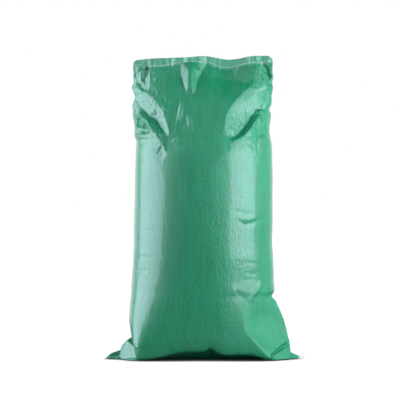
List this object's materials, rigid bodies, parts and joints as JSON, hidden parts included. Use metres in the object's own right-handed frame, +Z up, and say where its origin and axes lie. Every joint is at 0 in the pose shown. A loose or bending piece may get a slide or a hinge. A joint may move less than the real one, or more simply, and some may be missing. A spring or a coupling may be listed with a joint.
{
  "type": "woven polypropylene sack",
  "caption": "Filled woven polypropylene sack standing upright, with a pleated sewn hem at the top and a sewn bottom with ears at its corners.",
  "frame": {"origin": "the floor, under the middle of the sack's box", "axes": "+Z up along the sack's height, -Y to the front, +X to the right as the front is seen"},
  "size_m": [0.5776, 0.3062, 0.8587],
  "materials": {
    "woven_polypropylene": "green laminated weave of flat tapes with a soft gloss",
    "white_thread": "matt white spun sewing thread"
  },
  "bodies": {
    "root": {"sack": "woven_polypropylene", "top_needle_thread": "white_thread", "top_looper_thread": "white_thread", "bottom_seam_thread": "white_thread"}
  },
  "joints": []
}
